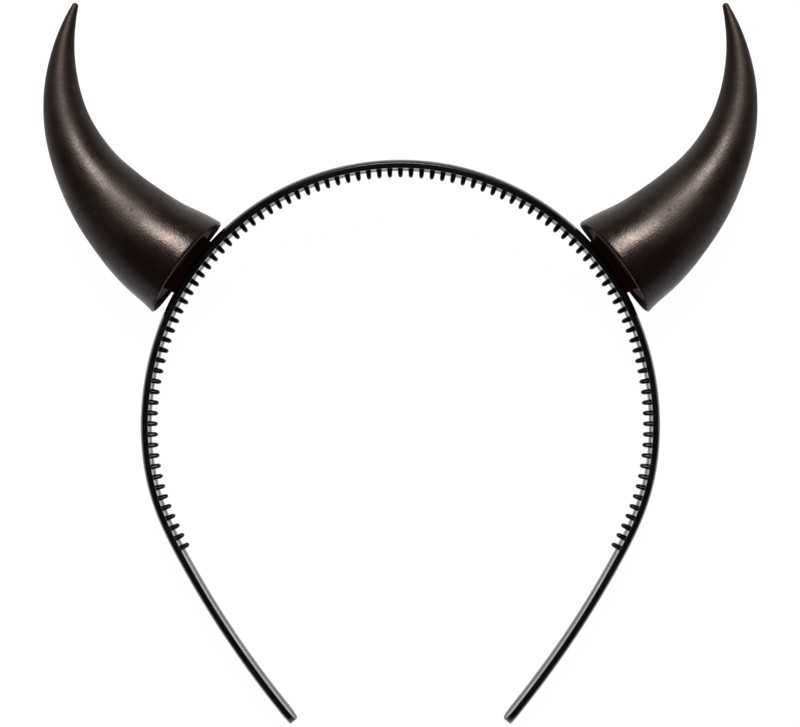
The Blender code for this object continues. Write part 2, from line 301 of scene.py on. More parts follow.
def makeToothedStretch():
    # one pitch of the strip: a half-round section pulled along X, with one tooth joined on
    s = stripShape
    half = s["depth"] / 2
    pitch = toothShape["pitch"]
    inside = s["crown"] + s["edge"]
    bpy.ops.object.select_all(action="DESELECT")
    bpy.ops.mesh.primitive_circle_add(
        vertices=s["domeSides"], radius=half, fill_type="NGON", rotation=(0, math.pi / 2, 0)
    )
    strip = bpy.context.object
    applyPlace(strip)
    beginEdit(strip)
    bpy.ops.mesh.select_all(action="SELECT")
    bpy.ops.mesh.bisect(plane_co=(0, 0, 0), plane_no=(0, -1, 0), clear_outer=True)
    bpy.ops.mesh.select_all(action="SELECT")
    bpy.ops.transform.resize(value=(1, s["crown"] / half, 1), center_override=(0, 0, 0))
    bpy.ops.transform.translate(value=(0, -s["crown"], 0))
    pick(strip, lambda v: v.co.y < -s["crown"] + tiny)
    extrudeBy((0, -s["edge"], 0))
    bpy.ops.mesh.select_all(action="SELECT")
    extrudeBy((pitch, 0, 0))
    bpy.ops.mesh.select_all(action="SELECT")
    bpy.ops.transform.translate(value=(-pitch / 2, 0, 0))
    bpy.ops.mesh.bisect(plane_co=(0, 0, 0), plane_no=(1, 0, 0))
    bpy.ops.mesh.select_all(action="SELECT")
    bpy.ops.mesh.bisect(plane_co=(0, 0, 0), plane_no=(0, 0, 1))
    pick(strip, lambda v: v.co.y < -inside + tiny and abs(v.co.z) < tiny)
    bpy.ops.transform.translate(value=(0, s["valley"], 0))
    for shift in (-0.5, 0, 0.5):
        bpy.ops.mesh.select_all(action="SELECT")
        line = s["groovePlace"] + shift * s["grooveWidth"]
        bpy.ops.mesh.bisect(plane_co=(0, 0, line), plane_no=(0, 0, 1), threshold=tiny)
    pick(strip, lambda v: v.co.y < -inside / 2 and abs(v.co.z - s["groovePlace"]) < tiny)
    bpy.ops.transform.translate(value=(0, s["grooveDepth"], 0))
    bpy.ops.mesh.select_all(action="SELECT")
    bpy.ops.mesh.normals_make_consistent(inside=False)

    def alongEdge(edge, test):
        a, b = (v.co for v in edge.verts)
        return abs(a.x - b.x) > tiny and test(a) and test(b)

    bpy.ops.mesh.select_mode(type="EDGE")
    corner = lambda p: p.y < -inside + tiny and abs(p.z) > half - tiny
    pick(strip, lambda e: alongEdge(e, corner), "edges")
    bpy.ops.mesh.bevel(offset=s["cornerRound"], segments=s["roundSteps"], affect="EDGES")
    fold = lambda p: p.y < -s["crown"] - s["edge"] / 2 and abs(p.z) < tiny
    pick(strip, lambda e: alongEdge(e, fold), "edges")
    bpy.ops.mesh.bevel(offset=s["foldRound"], segments=s["roundSteps"], affect="EDGES")
    endEdit()

    tooth = makeTooth()
    applyModifier(strip, "BOOLEAN", operation="UNION", solver="EXACT", object=tooth)
    bpy.data.objects.remove(tooth)
    beginEdit(strip, "FACE")
    ends = lambda f: all(abs(abs(v.co.x) - pitch / 2) < tiny for v in f.verts)
    pick(strip, ends, "faces")
    bpy.ops.mesh.delete(type="FACE")
    endEdit()
    return strip


def pullArm(strip):
    # the bare arm and its rounded free end, from the open end of the toothed stretch
    s = stripShape
    half = s["depth"] / 2
    start = (toothShape["countEachSide"] + 0.5) * toothShape["pitch"]
    bareEnd = stripCourse.length - s["endRadius"]
    armStep = (bareEnd - start) / s["armSteps"]
    beginEdit(strip)
    pick(strip, lambda v: v.co.x > start - tiny)
    for _ in range(s["armSteps"]):
        extrudeBy((armStep, 0, 0))
    x, narrowed = bareEnd, half
    for index in range(1, s["endSteps"] + 1):
        angle = 0.5 * math.pi * index / s["endSteps"]
        nextX = bareEnd + s["endRadius"] * math.sin(angle)
        nextHalf = half - s["endRadius"] * (1 - math.cos(angle))
        extrudeBy((nextX - x, 0, 0))
        bpy.ops.transform.resize(value=(1, 1, nextHalf / narrowed), center_override=(nextX, 0, 0))
        x, narrowed = nextX, nextHalf
    bpy.ops.mesh.edge_face_add()
    bpy.ops.mesh.select_mode(type="EDGE")
    pick(strip, lambda e: all(v.co.x > x - tiny for v in e.verts), "edges")
    bpy.ops.mesh.bevel(offset=s["endRound"], segments=s["roundSteps"], affect="EDGES")
    endEdit()


def setHeights(strip):
    # the strip gets thinner towards its ends; the teeth keep their length and move with its inside
    s = stripShape
    pitch = toothShape["pitch"]
    inside = s["crown"] + s["edge"]
    toothed = (toothShape["countEachSide"] + 0.5) * pitch
    arm = stripCourse.length - toothed
    stations = [0.5 * pitch * k for k in range(-1, 2 * toothShape["countEachSide"] + 2)]
    stations += [toothed + arm * k / s["armSteps"] for k in range(1, s["armSteps"] + 1)]
    edges = [0.5 * (a + b) for a, b in zip(stations, stations[1:])]
    beginEdit(strip)
    shape = bmesh.from_edit_mesh(strip.data)
    bins = {}
    for vert in shape.verts:
        bins.setdefault(int(np.searchsorted(edges, vert.co.x)), []).append(vert.index)
    for place, members in sorted(bins.items()):
        height = stripHeight(stations[place])
        for isTooth in (False, True):
            bpy.ops.mesh.select_all(action="DESELECT")
            shape = bmesh.from_edit_mesh(strip.data)
            shape.verts.ensure_lookup_table()
            for index in members:
                vert = shape.verts[index]
                low = vert.co.y < -inside - toothShape["below"]
                vert.select_set(low == isTooth)
            shape.select_flush_mode()
            bmesh.update_edit_mesh(strip.data)
            if isTooth:
                bpy.ops.transform.translate(value=(0, inside * (1 - height), 0))
            else:
                bpy.ops.transform.resize(value=(1, height, 1), center_override=(0, 0, 0))
    endEdit()


def buildStrip(guide):
    strip = makeToothedStretch()
    count = toothShape["countEachSide"] + 1
    applyModifier(
        strip, "ARRAY", count=count, use_relative_offset=False, use_constant_offset=True,
        constant_offset_displace=(toothShape["pitch"], 0, 0),
        use_merge_vertices=True, merge_threshold=pickNear,
    )
    pullArm(strip)
    setHeights(strip)
    applyModifier(
        strip, "MIRROR", use_axis=(True, False, False), use_bisect_axis=(True, False, False),
        use_mirror_merge=True, merge_threshold=pickNear, bisect_threshold=tiny,
    )
    faceOutwards(strip)
    keepStraightPlace(strip)
    bendAlong(strip, guide, stripCourse.length)
    applyPlace(strip, planeFrame)
    smoothShading(strip, stripShape["smoothAngle"])
    applyModifier(strip, "WEIGHTED_NORMAL", keep_sharp=True)
    strip.name = "headbandStrip"
    print("strip:", len(strip.data.polygons), "faces")
    return strip


# --- horns

hornShape = dict(
    length=84.4 * mm,           # along the middle line, without the round of the point
    baseRadius=15.3 * mm,
    wall=1.2 * mm,
    cavityTip=1.2 * mm,         # the hollow ends where it would get narrower
    rimRound=0.6 * mm,
    rimInnerRound=0.2 * mm,
    roundSteps=4,
    rimHollow=1.1 * mm,         # how far the rim is cut back at its front and back
    rimHollowReach=21.6 * mm,
    rimPickDeep=0.5 * mm,       # verts that are pulled for it: this far up the horn,
    rimPickAside=0.2 * mm,      # this far to the side
    rimPickUnder=0.1 * mm,      # and this far under the wall
    insideWall=0.45,            # the hollow's wall begins this share of the wall under the outside
    insideEnd=0.97,             # and ends at this share of the length
    smoothAngle=50,             # degrees
    guideKnots=33,
    sides=112,
    steps=84,
    cavitySteps=16,
    tipSteps=4,
    unevenness=0.16 * mm,
    unevenScale=11 * mm,
    turns=((0, 0), (0.06, -3.9), (0.15, 2.7), (0.30, 10.6), (0.50, 25.7), (0.75, 51.2), (1, 73.2)),
    girths=(
        (0, 1), (0.06, 0.955), (0.15, 0.882), (0.30, 0.743), (0.50, 0.531), (0.75, 0.295), (1, 0.060),
    ),
)
seatShape = dict(
    arc=67.15 * mm,             # from the strip's top, along the outside
    standoff=0.52 * mm,
    lean=2.7,                   # degrees towards upright
)
hornCourse = Course(hornShape["turns"], hornShape["length"])


def hornRadius(x):
    return hornShape["baseRadius"] * float(smoothValue(hornShape["girths"], x / hornShape["length"]))


def seatMatrix():
    # X along the right horn from the middle of its rim, Z to the front
    point, along = stripAt(seatShape["arc"])
    outward = Vector((-along.y, along.x, 0))
    heading = math.atan2(outward.y, outward.x) + math.radians(seatShape["lean"])
    place = point + outward * seatShape["standoff"]
    return Matrix.Translation(place) @ Matrix.Rotation(heading, 4, "Z")


def pullRings(stops, start):
    # extrudes the selected ring through (x, radius) stops
    x, radius = start
    for nextX, nextRadius in stops:
        extrudeBy((nextX - x, 0, 0))
        ratio = nextRadius / radius
        bpy.ops.transform.resize(value=(1, ratio, ratio), center_override=(nextX, 0, 0))
        x, radius = nextX, nextRadius
    return x, radius


def markInside(horn):
    # 1 on the wall of the hollow and 0 outside; that wall gets a material of its own, duller plastic
    # darkened further as painted shade for the inside of the hollow
    h = hornShape
    mask = horn.data.attributes.new("insideMask", "FLOAT", "POINT")
    for vert, value in zip(horn.data.vertices, mask.data):
        share = min(max(vert.co.x / h["length"], 0), 1)
        wallMiddle = hornRadius(share * h["length"]) - h["insideWall"] * h["wall"]
        value.value = 1.0 if vert.co.yz.length < wallMiddle and share < h["insideEnd"] else 0.0


def makeHornShell():
    h = hornShape
    base, length = h["baseRadius"], h["length"]
    bpy.ops.object.select_all(action="DESELECT")
    bpy.ops.mesh.primitive_circle_add(
        vertices=h["sides"], radius=base, fill_type="NOTHING", rotation=(0, math.pi / 2, 0)
    )
    horn = bpy.context.object
    applyPlace(horn)
    beginEdit(horn)
    bpy.ops.mesh.select_all(action="SELECT")
    spots = [length * k / h["steps"] for k in range(1, h["steps"] + 1)]
    stops = [(x, hornRadius(x)) for x in spots]
    tipRadius = hornRadius(length)
    for k in range(1, h["tipSteps"]):
        angle = 0.5 * math.pi * k / h["tipSteps"]
        stops.append((length + tipRadius * math.sin(angle), tipRadius * math.cos(angle)))
    x, _ = pullRings(stops, (0, base))
    extrudeBy((length + tipRadius - x, 0, 0))
    bpy.ops.mesh.merge(type="CENTER")

    # back at the rim: across the wall, then up the hollow
    pick(horn, lambda v: abs(v.co.x) < tiny)
    inner = lambda x: hornRadius(x) - h["wall"]
    deepest = max(s for s in spots if inner(s) > h["cavityTip"])
    hollow = [(0, inner(0))] + [
        (deepest * k / h["cavitySteps"], inner(deepest * k / h["cavitySteps"]))
        for k in range(1, h["cavitySteps"] + 1)
    ]
    x, radius = pullRings(hollow, (0, base))
    extrudeBy((radius, 0, 0))
    bpy.ops.mesh.merge(type="CENTER")
    bpy.ops.mesh.select_all(action="SELECT")
    bpy.ops.mesh.normals_make_consistent(inside=False)

    bpy.ops.mesh.select_mode(type="EDGE")
    for radius, rounding in ((base, h["rimRound"]), (inner(0), h["rimInnerRound"])):
        onLoop = lambda v: abs(v.co.x) < tiny and abs(v.co.yz.length - radius) < pickNear
        pick(horn, lambda e: all(onLoop(v) for v in e.verts), "edges")
        bpy.ops.mesh.bevel(offset=rounding, segments=h["roundSteps"], affect="EDGES")

    bpy.ops.mesh.select_mode(type="VERT")
    for side in (-1, 1):
        low = base - h["wall"] - h["rimPickUnder"]
        atRim = lambda v: v.co.x < h["rimPickDeep"] and abs(v.co.y) < h["rimPickAside"]
        pick(horn, lambda v: atRim(v) and side * v.co.z > low)
        bpy.ops.transform.translate(
            value=(h["rimHollow"], 0, 0), use_proportional_edit=True,
            proportional_edit_falloff="SMOOTH", proportional_size=h["rimHollowReach"],
        )
    endEdit()
    faceOutwards(horn)

    # slightly uneven, as the streak of light on a moulded horn shows
    waves = bpy.data.textures.new("hornWaves", "CLOUDS")
    waves.noise_scale = h["unevenScale"]
    waves.noise_depth = 1
    applyModifier(
        horn, "DISPLACE", texture=waves, texture_coords="LOCAL", strength=h["unevenness"], mid_level=0.5
    )
    markInside(horn)
    keepStraightPlace(horn)
    return horn


def layHornGuide():
    arcs = np.linspace(0, hornShape["length"], hornShape["guideKnots"])
    found = [hornCourse.at(arc) for arc in arcs]
    return layGuide("hornGuide", [f[0] for f in found], [f[1] for f in found], arcs[1])


def mirroredCopy(piece, name):
    twin = piece.copy()
    twin.data = piece.data.copy()
    bpy.context.scene.collection.objects.link(twin)
    twin.name = name
    applyPlace(twin, Matrix.Diagonal((-1, 1, 1, 1)))
    faceOutwards(twin)
    return twin


def buildHorns():
    guide = layHornGuide()
    right = makeHornShell()
    bendAlong(right, guide)
    bpy.data.objects.remove(guide)
    applyPlace(right, seatMatrix())
    right.name = "hornRightShell"
    left = mirroredCopy(right, "hornLeftShell")
    for horn in (right, left):
        applyPlace(horn, planeFrame)
        smoothShading(horn, hornShape["smoothAngle"])
    print("horns:", len(right.data.polygons), "faces each")
    return right, left


# --- horn bases: the plate inside the rim with the pad that sits on the strip

baseShape = dict(
    plateInset=1.5 * mm,        # from the middle of the rim
    plateThick=1.2 * mm,
    plateGap=0.3 * mm,          # to the inside of the horn
    plateSides=96,
    padLength=17.0 * mm,
    padWidth=8.4 * mm,
    padShift=0.9 * mm,          # towards the strip's top
    padTall=9.0 * mm,
    padStepsLong=24,
    padStepsWide=8,
    edgeRound=0.18 * mm,
    roundSteps=3,
    sharpAngle=40,              # degrees; sharper edges are rounded and stay sharp in the shading
    seatGap=0.02 * mm,          # between the pad and the strip
)


def makePlate():
    b = baseShape
    near = hornRadius(b["plateInset"]) - hornShape["wall"] - b["plateGap"]
    far = hornRadius(b["plateInset"] + b["plateThick"]) - hornShape["wall"] - b["plateGap"]
    middle = b["plateInset"] + b["plateThick"] / 2
    bpy.ops.object.select_all(action="DESELECT")
    bpy.ops.mesh.primitive_cylinder_add(
        vertices=b["plateSides"], radius=near, depth=b["plateThick"],
        location=(middle, 0, 0), rotation=(0, math.pi / 2, 0),
    )
    plate = bpy.context.object
    applyPlace(plate)
    beginEdit(plate)
    pick(plate, lambda v: v.co.x > middle)
    bpy.ops.transform.resize(value=(1, far / near, far / near), center_override=(middle, 0, 0))
    endEdit()
    applyPlace(plate, seatMatrix())
    return plate


def makePad(guide):
    b = baseShape
    middle = seatShape["arc"] - b["padShift"]
    height = stripHeight(middle)
    half = stripShape["depth"] / 2
    bpy.ops.object.select_all(action="DESELECT")
    bpy.ops.mesh.primitive_grid_add(
        x_subdivisions=b["padStepsLong"], y_subdivisions=b["padStepsWide"], size=1,
        rotation=(math.pi / 2, 0, 0),
    )
    pad = bpy.context.object
    pad.scale = (b["padLength"], b["padWidth"], 1)
    applyPlace(pad)
    beginEdit(pad)
    for k in range(b["padStepsWide"] + 1):   # the foot follows the domed outside of the strip
        z = b["padWidth"] * (k / b["padStepsWide"] - 0.5)
        drop = stripShape["crown"] * (1 - math.sqrt(1 - (z / half) ** 2)) * height
        pick(pad, lambda v: abs(v.co.z - z) < pickNear)
        bpy.ops.transform.translate(value=(0, b["seatGap"] - drop, 0))
    bpy.ops.mesh.select_all(action="SELECT")
    extrudeBy((0, b["padTall"], 0))
    pick(pad, lambda v: v.co.y > b["padTall"] / 2)
    bpy.ops.transform.resize(value=(1, 0, 1), center_override=(0, b["padTall"], 0))
    bpy.ops.mesh.select_all(action="SELECT")
    bpy.ops.mesh.normals_make_consistent(inside=False)
    endEdit()
    bendAlong(pad, guide, stripCourse.length + middle)
    # cut off inside the plate
    seat = seatMatrix()
    cut = seat @ Vector((b["plateInset"] + b["plateThick"] / 2, 0, 0))
    beginEdit(pad)
    bpy.ops.mesh.select_all(action="SELECT")
    bpy.ops.mesh.bisect(
        plane_co=cut, plane_no=seat.to_3x3() @ Vector((1, 0, 0)), use_fill=True, clear_outer=True
    )
    endEdit()
    return pad


def buildBases(guide):
    b = baseShape
    right = makePlate()
    pad = makePad(guide)
    applyModifier(right, "BOOLEAN", operation="UNION", solver="EXACT", object=pad)
    bpy.data.objects.remove(pad)
    applyModifier(
        right, "BEVEL", width=b["edgeRound"], segments=b["roundSteps"],
        limit_method="ANGLE", angle_limit=math.radians(b["sharpAngle"]),
    )
    right.name = "hornBaseRight"
    faceOutwards(right)
    keepStraightPlace(right)
    left = mirroredCopy(right, "hornBaseLeft")
    for base in (right, left):
        applyPlace(base, planeFrame)
        smoothShading(base, b["sharpAngle"])
        applyModifier(base, "WEIGHTED_NORMAL", keep_sharp=True)
    print("bases:", len(right.data.polygons), "faces each")
    return right, left


stripGuide = layStripGuide()
strip = buildStrip(stripGuide)
hornRight, hornLeft = buildHorns()
baseRight, baseLeft = buildBases(stripGuide)
bpy.data.objects.remove(stripGuide)


# --- shader groups that several finishes share

nodeGap = (200, -170)
mixLow, mixHigh, mixResult = 6, 7, 2   # the colour sockets of a mix node, whose names repeat


def newGroup(name, inputs, outputs):
    group = bpy.data.node_groups.new(name, "ShaderNodeTree")
    for label, kind, value in inputs:
        socket = group.interface.new_socket(label, in_out="INPUT", socket_type="NodeSocket" + kind)
        if value is not None:
            socket.default_value = value
    for label, kind in outputs:
        group.interface.new_socket(label, in_out="OUTPUT", socket_type="NodeSocket" + kind)
    return group


def place(tree, kind, spot, settings=None, **values):
    # a new node; _1 stands for the socket with that number
    node = tree.nodes.new(kind)
    node.location = (spot[0] * nodeGap[0], spot[1] * nodeGap[1])
    for name, value in (settings or {}).items():
        setattr(node, name, value)
    for name, value in values.items():
        node.inputs[int(name[1:]) if name[1:].isdigit() else name].default_value = value
    return node


def link(tree, source, output, target, socket):
    tree.links.new(source.outputs[output], target.inputs[socket])


def makeGrainGroup():
    # fine leathery grain with scattered pits
    group = newGroup(
        "leatheryGrain",
        [("Vector", "Vector", None), ("Grain Scale", "Float", 1800.0), ("Pit Scale", "Float", 260.0),
         ("Pit Share", "Float", 0.12)],
        [("Height", "Float"), ("Grain", "Float"), ("Pits", "Float")],
    )
    start = place(group, "NodeGroupInput", (0, 0))
    end = place(group, "NodeGroupOutput", (5, 0))
    grain = place(group, "ShaderNodeTexNoise", (1, 0), Detail=3.0, Roughness=0.6)
    pores = place(group, "ShaderNodeTexVoronoi", (1, 2), {"feature": "F1"}, Randomness=1.0)
    pits = place(group, "ShaderNodeTexVoronoi", (1, 4), {"feature": "F1"}, Randomness=1.0)
    chosen = place(group, "ShaderNodeMath", (2, 5), {"operation": "LESS_THAN"})
    pitDepth = place(group, "ShaderNodeMapRange", (2, 4), _1=0.0, _2=0.24, _3=1.0, _4=0.0)
    pitMask = place(group, "ShaderNodeMath", (3, 4), {"operation": "MULTIPLY"})
    porePart = place(group, "ShaderNodeMath", (2, 2), {"operation": "MULTIPLY"}, _1=0.55)
    together = place(group, "ShaderNodeMath", (3, 1), {"operation": "ADD"})
    carved = place(group, "ShaderNodeMath", (4, 1), {"operation": "SUBTRACT"})
    tint = place(group, "ShaderNodeSeparateColor", (1, 6))
    link(group, start, "Vector", grain, "Vector")
    link(group, start, "Vector", pores, "Vector")
    link(group, start, "Vector", pits, "Vector")
    link(group, start, "Grain Scale", grain, "Scale")
    link(group, start, "Grain Scale", pores, "Scale")
    link(group, start, "Pit Scale", pits, "Scale")
    link(group, pits, "Color", tint, "Color")
    link(group, tint, "Red", chosen, 0)
    link(group, start, "Pit Share", chosen, 1)
    link(group, pits, "Distance", pitDepth, "Value")
    link(group, pitDepth, "Result", pitMask, 0)
    link(group, chosen, "Value", pitMask, 1)
    link(group, pores, "Distance", porePart, 0)
    link(group, grain, "Fac", together, 0)
    link(group, porePart, "Value", together, 1)
    link(group, together, "Value", carved, 0)
    link(group, pitMask, "Value", carved, 1)
    link(group, carved, "Value", end, "Height")
    link(group, grain, "Fac", end, "Grain")
    link(group, pitMask, "Value", end, "Pits")
    return group


def makeScuffGroup():
    # long hair-fine scuffs, stretched along X
    group = newGroup(
        "fineScuffs",
        [("Vector", "Vector", None), ("Scale", "Float", 900.0), ("Stretch", "Float", 0.04),
         ("Amount", "Float", 0.3)],
        [("Mask", "Float")],
    )
    start = place(group, "NodeGroupInput", (0, 0))
    end = place(group, "NodeGroupOutput", (7.5, 0))
    stretch = place(group, "ShaderNodeCombineXYZ", (1, 1), Y=1.0, Z=1.0)
    scaled = place(group, "ShaderNodeVectorMath", (2, 0), {"operation": "MULTIPLY"})
    lines = place(group, "ShaderNodeTexNoise", (3, 0), Detail=2.0, Roughness=0.5)
    patches = place(group, "ShaderNodeTexNoise", (3, 2), Scale=60.0, Detail=2.0)
    sharp = place(group, "ShaderNodeMapRange", (4, 0), _1=0.6, _2=0.72)
    patchy = place(group, "ShaderNodeMapRange", (4, 2), _1=0.45, _2=0.65)
    both = place(group, "ShaderNodeMath", (5, 1), {"operation": "MULTIPLY"})
    amount = place(group, "ShaderNodeMath", (6, 1), {"operation": "MULTIPLY"})
    link(group, start, "Stretch", stretch, "X")
    link(group, start, "Vector", scaled, 0)
    link(group, stretch, "Vector", scaled, 1)
    link(group, scaled, "Vector", lines, "Vector")
    link(group, start, "Scale", lines, "Scale")
    link(group, start, "Vector", patches, "Vector")
    link(group, lines, "Fac", sharp, "Value")
    link(group, patches, "Fac", patchy, "Value")
    link(group, sharp, "Result", both, 0)
    link(group, patchy, "Result", both, 1)
    link(group, both, "Value", amount, 0)
    link(group, start, "Amount", amount, 1)
    link(group, amount, "Value", end, "Mask")
    return group


def makeEdgeWearGroup():
    # corners rubbed a little lighter, broken up by noise
    group = newGroup(
        "rubbedEdges",
        [("Vector", "Vector", None), ("Low", "Float", 0.52), ("High", "Float", 0.62),
         ("Amount", "Float", 0.5)],
        [("Mask", "Float")],
    )
    start = place(group, "NodeGroupInput", (0, 0))
    end = place(group, "NodeGroupOutput", (5, 0))
    surface = place(group, "ShaderNodeNewGeometry", (1, 0))
    corners = place(group, "ShaderNodeMapRange", (2, 0))
    noise = place(group, "ShaderNodeTexNoise", (1, 2), Scale=700.0, Detail=3.0)
    broken = place(group, "ShaderNodeMapRange", (2, 2), _1=0.35, _2=0.65)
    both = place(group, "ShaderNodeMath", (3, 1), {"operation": "MULTIPLY"})
    amount = place(group, "ShaderNodeMath", (4, 1), {"operation": "MULTIPLY"})
    link(group, surface, "Pointiness", corners, "Value")
    link(group, start, "Low", corners, "From Min")
    link(group, start, "High", corners, "From Max")
    link(group, start, "Vector", noise, "Vector")
    link(group, noise, "Fac", broken, "Value")
    link(group, corners, "Result", both, 0)
    link(group, broken, "Result", both, 1)
    link(group, both, "Value", amount, 0)
    link(group, start, "Amount", amount, 1)
    link(group, amount, "Value", end, "Mask")
    return group


def makeDustGroup():
    # sparse specks and a thin uneven film
    group = newGroup(
        "lightDust",
        [("Vector", "Vector", None), ("Speck Scale", "Float", 900.0), ("Film", "Float", 0.1)],
        [("Mask", "Float")],
    )
    start = place(group, "NodeGroupInput", (0, 0))
    end = place(group, "NodeGroupOutput", (5, 0))
    specks = place(group, "ShaderNodeTexVoronoi", (1, 0), {"feature": "F1"}, Randomness=1.0)
    small = place(group, "ShaderNodeMapRange", (2, 0), _1=0.06, _2=0.1, _3=1.0, _4=0.0)
    film = place(group, "ShaderNodeTexNoise", (1, 2), Scale=90.0, Detail=4.0)
    thin = place(group, "ShaderNodeMath", (2, 2), {"operation": "MULTIPLY"})
    total = place(group, "ShaderNodeMath", (3, 1), {"operation": "ADD", "use_clamp": True})
    link(group, start, "Vector", specks, "Vector")
    link(group, start, "Speck Scale", specks, "Scale")
    link(group, start, "Vector", film, "Vector")
    link(group, specks, "Distance", small, "Value")
    link(group, film, "Fac", thin, 0)
    link(group, start, "Film", thin, 1)
    link(group, small, "Result", total, 0)
    link(group, thin, "Value", total, 1)
    link(group, total, "Value", end, "Mask")
    return group


grainGroup = makeGrainGroup()
scuffGroup = makeScuffGroup()
edgeWearGroup = makeEdgeWearGroup()
dustGroup = makeDustGroup()


def newMaterial(name):
    material = bpy.data.materials.new(name)
    material.use_nodes = True
    tree = material.node_tree
    shader = tree.nodes["Principled BSDF"]
    shader.location = (9 * nodeGap[0], 0)
    tree.nodes["Material Output"].location = (10.5 * nodeGap[0], 0)
    spot = place(tree, "ShaderNodeAttribute", (0, 0), {"attribute_name": "straightPlace"})
    return material, tree, shader, spot


def useGroup(tree, group, spot, where, **values):
    node = place(tree, "ShaderNodeGroup", where, {"node_tree": group})
    for name, value in values.items():
        node.inputs[name.replace("_", " ")].default_value = value
    link(tree, spot, "Vector", node, "Vector")
    return node


def mixColour(tree, where, low, high, source, output):
    node = place(tree, "ShaderNodeMix", where, {"data_type": "RGBA"})
    node.inputs[mixLow].default_value = (*low, 1)
    node.inputs[mixHigh].default_value = (*high, 1)
    link(tree, source, output, node, 0)
    return node


def coverColour(tree, where, under, colour, mask, output):
    # lays a colour over the one under it, as far as the mask says
    node = place(tree, "ShaderNodeMix", where, {"data_type": "RGBA"})
    node.inputs[mixHigh].default_value = (*colour, 1)
    link(tree, mask, output, node, 0)
    link(tree, under, mixResult, node, mixLow)
    return node


def spreadNoise(tree, where, noise, low, high):
    # noise hardly leaves the range from 0.3 to 0.7
    node = place(tree, "ShaderNodeMapRange", where, _1=0.3, _2=0.7, _3=low, _4=high)
    link(tree, noise, "Fac", node, "Value")
    return node


def addBump(tree, shader, where, source, output, strength, depth):
    bump = place(tree, "ShaderNodeBump", where, Strength=strength, Distance=depth)
    link(tree, source, output, bump, "Height")
    link(tree, bump, "Normal", shader, "Normal")


hornFinish = dict(
    dark=(0.0016, 0.0006, 0.0004),
    light=(0.0046, 0.0021, 0.0015),
    rubbed=(0.020, 0.014, 0.011),
    dusty=(0.020, 0.015, 0.012),
    pitted=(0.002, 0.0015, 0.0012),
    cloudScale=85.0,
    grain=dict(Grain_Scale=1500.0, Pit_Scale=300.0),
    wear=dict(Low=0.53, High=0.64, Amount=0.6),
    dust=dict(Film=0.04),
    roughScale=210.0,
    roughSpread=0.05,
    roughAlong=(                # share of the length, roughness there
        (0, 0.29), (0.09, 0.29), (0.28, 0.45), (0.46, 0.35), (0.60, 0.46), (0.72, 0.53), (1, 0.52),
    ),
    roughGrain=0.035,
    roughPits=0.25,
    specular=0.19,
    specularTint=(1.0, 0.85, 0.79),
    grainBump=0.5,
    grainDepth=0.06 * mm,
)


def makeHornMaterial():
    f = hornFinish
    material, tree, shader, spot = newMaterial("hornSatinBrownBlack")
    clouds = place(
        tree, "ShaderNodeTexNoise", (1, 0), Scale=f["cloudScale"], Detail=5.0, Roughness=0.6
    )
    link(tree, spot, "Vector", clouds, "Vector")
    spread = place(tree, "ShaderNodeMapRange", (2, 0), _1=0.32, _2=0.7)
    link(tree, clouds, "Fac", spread, "Value")
    ground = mixColour(tree, (3, 0), f["dark"], f["light"], spread, "Result")
    grain = useGroup(tree, grainGroup, spot, (1, 2), **f["grain"])
    wear = useGroup(tree, edgeWearGroup, spot, (1, 4), **f["wear"])
    dust = useGroup(tree, dustGroup, spot, (1, 5), **f["dust"])
    rubbed = coverColour(tree, (4, 0), ground, f["rubbed"], wear, "Mask")
    dusty = coverColour(tree, (5, 0), rubbed, f["dusty"], dust, "Mask")
    pitted = coverColour(tree, (6, 0), dusty, f["pitted"], grain, "Pits")
    link(tree, pitted, mixResult, shader, "Base Color")
    rough = place(tree, "ShaderNodeTexNoise", (1, 7), Scale=f["roughScale"], Detail=4.0)
    link(tree, spot, "Vector", rough, "Vector")
    roughRange = spreadNoise(tree, (2, 7), rough, -f["roughSpread"], f["roughSpread"])
    parts = place(tree, "ShaderNodeSeparateXYZ", (1, 9))
    link(tree, spot, "Vector", parts, "Vector")
    share = place(tree, "ShaderNodeMath", (2, 9), {"operation": "DIVIDE"}, _1=hornShape["length"])
    link(tree, parts, "X", share, 0)
    along = place(tree, "ShaderNodeFloatCurve", (3, 9))
    points = along.mapping.curves[0].points
    for _ in range(len(f["roughAlong"]) - 2):
        points.new(0.5, 0.5)
    for point, stop in zip(points, f["roughAlong"]):
        point.location = stop
    along.mapping.update()
    link(tree, share, "Value", along, "Value")
    roughSum = place(tree, "ShaderNodeMath", (4, 8), {"operation": "ADD"})
    link(tree, roughRange, "Result", roughSum, 0)
    link(tree, along, "Value", roughSum, 1)
    fine = place(
        tree, "ShaderNodeMapRange", (3, 8), _1=0.35, _2=0.65, _3=-f["roughGrain"], _4=f["roughGrain"]
    )
    link(tree, grain, "Grain", fine, "Value")
    roughFine = place(tree, "ShaderNodeMath", (4, 7), {"operation": "ADD"})
    link(tree, roughSum, "Value", roughFine, 0)
    link(tree, fine, "Result", roughFine, 1)
    roughMore = place(tree, "ShaderNodeMath", (5, 7), {"operation": "MULTIPLY_ADD"}, _1=f["roughPits"])
    link(tree, grain, "Pits", roughMore, 0)
    link(tree, roughFine, "Value", roughMore, 2)
    link(tree, roughMore, "Value", shader, "Roughness")
    addBump(tree, shader, (7, 3), grain, "Height", f["grainBump"], f["grainDepth"])
    shader.inputs["Specular IOR Level"].default_value = f["specular"]
    shader.inputs["Specular Tint"].default_value = (*f["specularTint"], 1)
    return material


